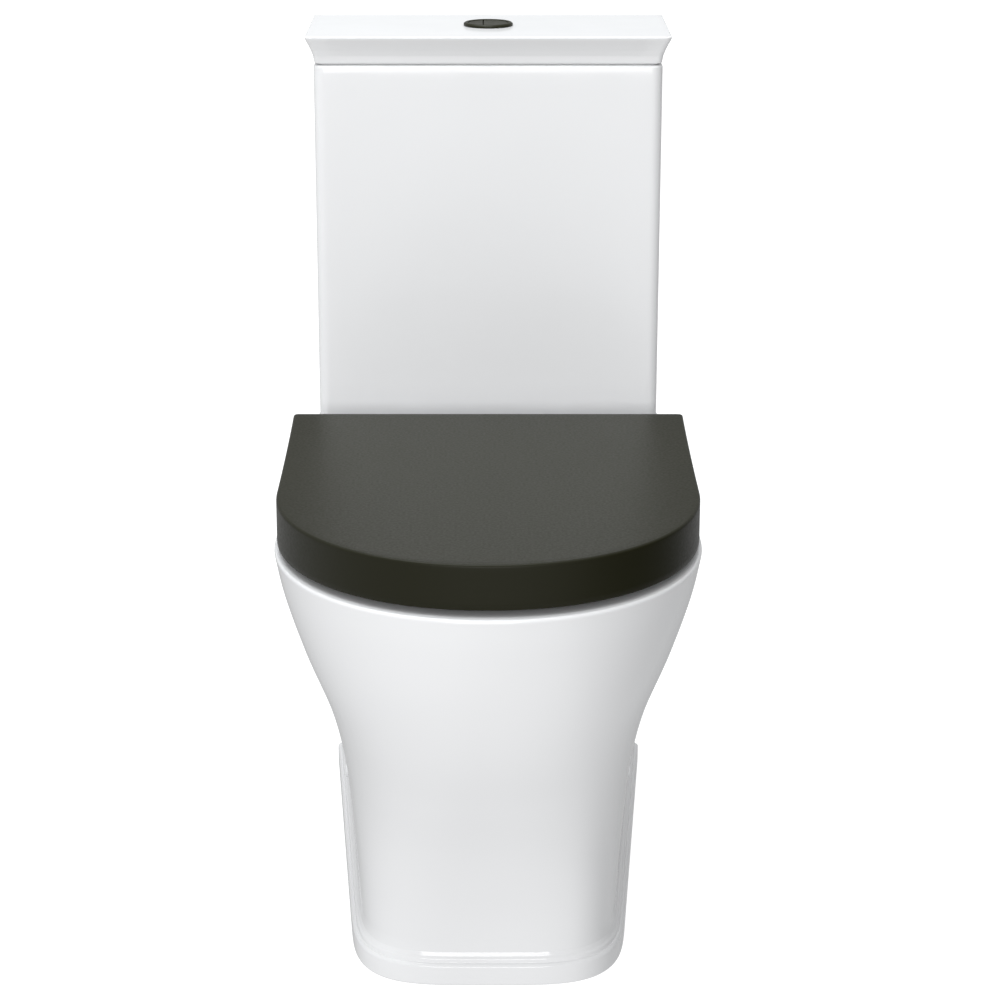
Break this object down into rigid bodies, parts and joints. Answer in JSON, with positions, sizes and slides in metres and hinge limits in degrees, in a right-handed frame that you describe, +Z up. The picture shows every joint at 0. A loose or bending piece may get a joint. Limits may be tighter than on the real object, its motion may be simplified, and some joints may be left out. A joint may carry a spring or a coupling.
{
  "type": "close coupled toilet",
  "caption": "Close coupled toilet with a skirted back-to-wall pan, moulded cistern lid, dual flush button and a dark wrap-over soft-close seat.",
  "frame": {"origin": "on the floor, under the centre of the object's bounding box", "axes": "+Z up, -Y towards the user, +Y towards the wall, +X to the user's right when facing the wall"},
  "size_m": [0.3776, 0.6636, 0.8113],
  "materials": {
    "black_rubber": "soft black rubber",
    "brass": "turned brass",
    "button_plastic": "dark grey, fine matt",
    "cap_plastic": "white moulded",
    "cistern_glaze": "glossy white glaze",
    "grey_rubber": "grey buffer rubber",
    "lid_glaze": "glossy white glaze",
    "nut_plastic": "dark grey moulding",
    "seat_lid_plastic": "dark olive grey, satin moulded",
    "seat_ring_plastic": "dark olive grey, satin moulded",
    "stainless_steel": "bright drawn",
    "valve_blue": "blue moulding",
    "valve_white": "natural white moulding",
    "white_glaze": "glossy white glaze",
    "zinc_plate": "zinc plated"
  },
  "bodies": {
    "toilet": {"pan": "white_glaze", "cistern": "cistern_glaze", "cistern_lid": "lid_glaze", "button_collar": "button_plastic", "collar_nut": "nut_plastic", "button_spring_full": "stainless_steel", "button_spring_half": "stainless_steel", "flush_valve_base": "valve_white", "flush_valve_washer": "black_rubber", "flush_valve_backnut": "nut_plastic", "close_coupling_gasket": "black_rubber", "valve_cage": "valve_white", "fill_valve_stem": "brass", "fill_valve_washer": "black_rubber", "fill_valve_backnut": "brass", "fill_valve_head": "valve_white", "hinge_base_l": "zinc_plate", "hinge_pillar_l": "zinc_plate", "hinge_damper_l": "stainless_steel", "hinge_stud_l": "stainless_steel", "hinge_nut_l": "nut_plastic", "cistern_bolt_l": "stainless_steel", "bolt_washer_l": "black_rubber", "wing_nut_l": "nut_plastic", "floor_bracket_l": "zinc_plate", "side_screw_l": "stainless_steel", "cover_cap_l": "cap_plastic", "hinge_base_r": "zinc_plate", "hinge_pillar_r": "zinc_plate", "hinge_damper_r": "stainless_steel", "hinge_stud_r": "stainless_steel", "hinge_nut_r": "nut_plastic", "cistern_bolt_r": "stainless_steel", "bolt_washer_r": "black_rubber", "wing_nut_r": "nut_plastic", "floor_bracket_r": "zinc_plate", "side_screw_r": "stainless_steel", "cover_cap_r": "cap_plastic"},
    "ring": {"seat_ring": "seat_ring_plastic", "ring_buffer_front_l": "grey_rubber", "ring_buffer_front_r": "grey_rubber", "ring_buffer_back_l": "grey_rubber", "ring_buffer_back_r": "grey_rubber"},
    "lid": {"seat_lid": "seat_lid_plastic", "lid_buffer_l": "grey_rubber", "lid_buffer_r": "grey_rubber"},
    "full_button": {"flush_button_full": "button_plastic", "push_rod_full": "valve_blue"},
    "half_button": {"flush_button_half": "button_plastic", "push_rod_half": "valve_blue"},
    "full_lever": {"rocker_full": "valve_blue"},
    "half_lever": {"rocker_half": "valve_blue"},
    "flush_tube": {"overflow_tube": "valve_blue", "valve_seal": "black_rubber"},
    "float": {"fill_valve_float": "valve_blue", "float_link": "valve_white"},
    "fill_lever": {"float_lever": "valve_white"}
  },
  "joints": [
    {"name": "seat_ring_hinge", "type": "hinge", "parent": "toilet", "child": "ring", "pos_m": [0, 0.11, 0.432], "axis": [-1, 0, 0], "range_deg": [0, 95]},
    {"name": "seat_lid_hinge", "type": "hinge", "parent": "ring", "child": "lid", "pos_m": [0, 0.11, 0.432], "axis": [1, 0, 0], "range_deg": [-95, 0]},
    {"name": "full_flush_press", "type": "slide", "parent": "toilet", "child": "full_button", "axis": [0, 0, -1], "range_m": [0, 0.006], "stiffness_N_per_m": 300, "springref_m": -0.003, "deforming": ["button_spring_full"]},
    {"name": "half_flush_press", "type": "slide", "parent": "toilet", "child": "half_button", "axis": [0, 0, -1], "range_m": [0, 0.006], "stiffness_N_per_m": 300, "springref_m": -0.003, "deforming": ["button_spring_half"]},
    {"name": "full_rocker_turn", "type": "hinge", "parent": "toilet", "child": "full_lever", "pos_m": [-0.003, 0.24, 0.7135], "axis": [0, 1, 0], "range_deg": [0, 30.5]},
    {"name": "half_rocker_turn", "type": "hinge", "parent": "toilet", "child": "half_lever", "pos_m": [0.003, 0.265, 0.704], "axis": [0, -1, 0], "range_deg": [0, 30.5]},
    {"name": "flush_tube_lift", "type": "slide", "parent": "toilet", "child": "flush_tube", "axis": [0, 0, 1], "range_m": [0, 0.0085]},
    {"name": "float_rise", "type": "slide", "parent": "toilet", "child": "float", "axis": [0, 0, 1], "range_m": [0, 0.01]},
    {"name": "float_lever_turn", "type": "hinge", "parent": "toilet", "child": "fill_lever", "pos_m": [0.118, 0.2525, 0.723], "axis": [-1, 0, 0], "range_deg": [0, 28.5]}
  ],
  "couplings": [
    {"joint": "full_rocker_turn", "follows": "full_flush_press", "rad_per_m": 87},
    {"joint": "half_rocker_turn", "follows": "half_flush_press", "rad_per_m": 87},
    {"joint": "flush_tube_lift", "follows": "full_flush_press", "ratio": 1.35},
    {"joint": "float_lever_turn", "follows": "float_rise", "rad_per_m": 48.8}
  ]
}
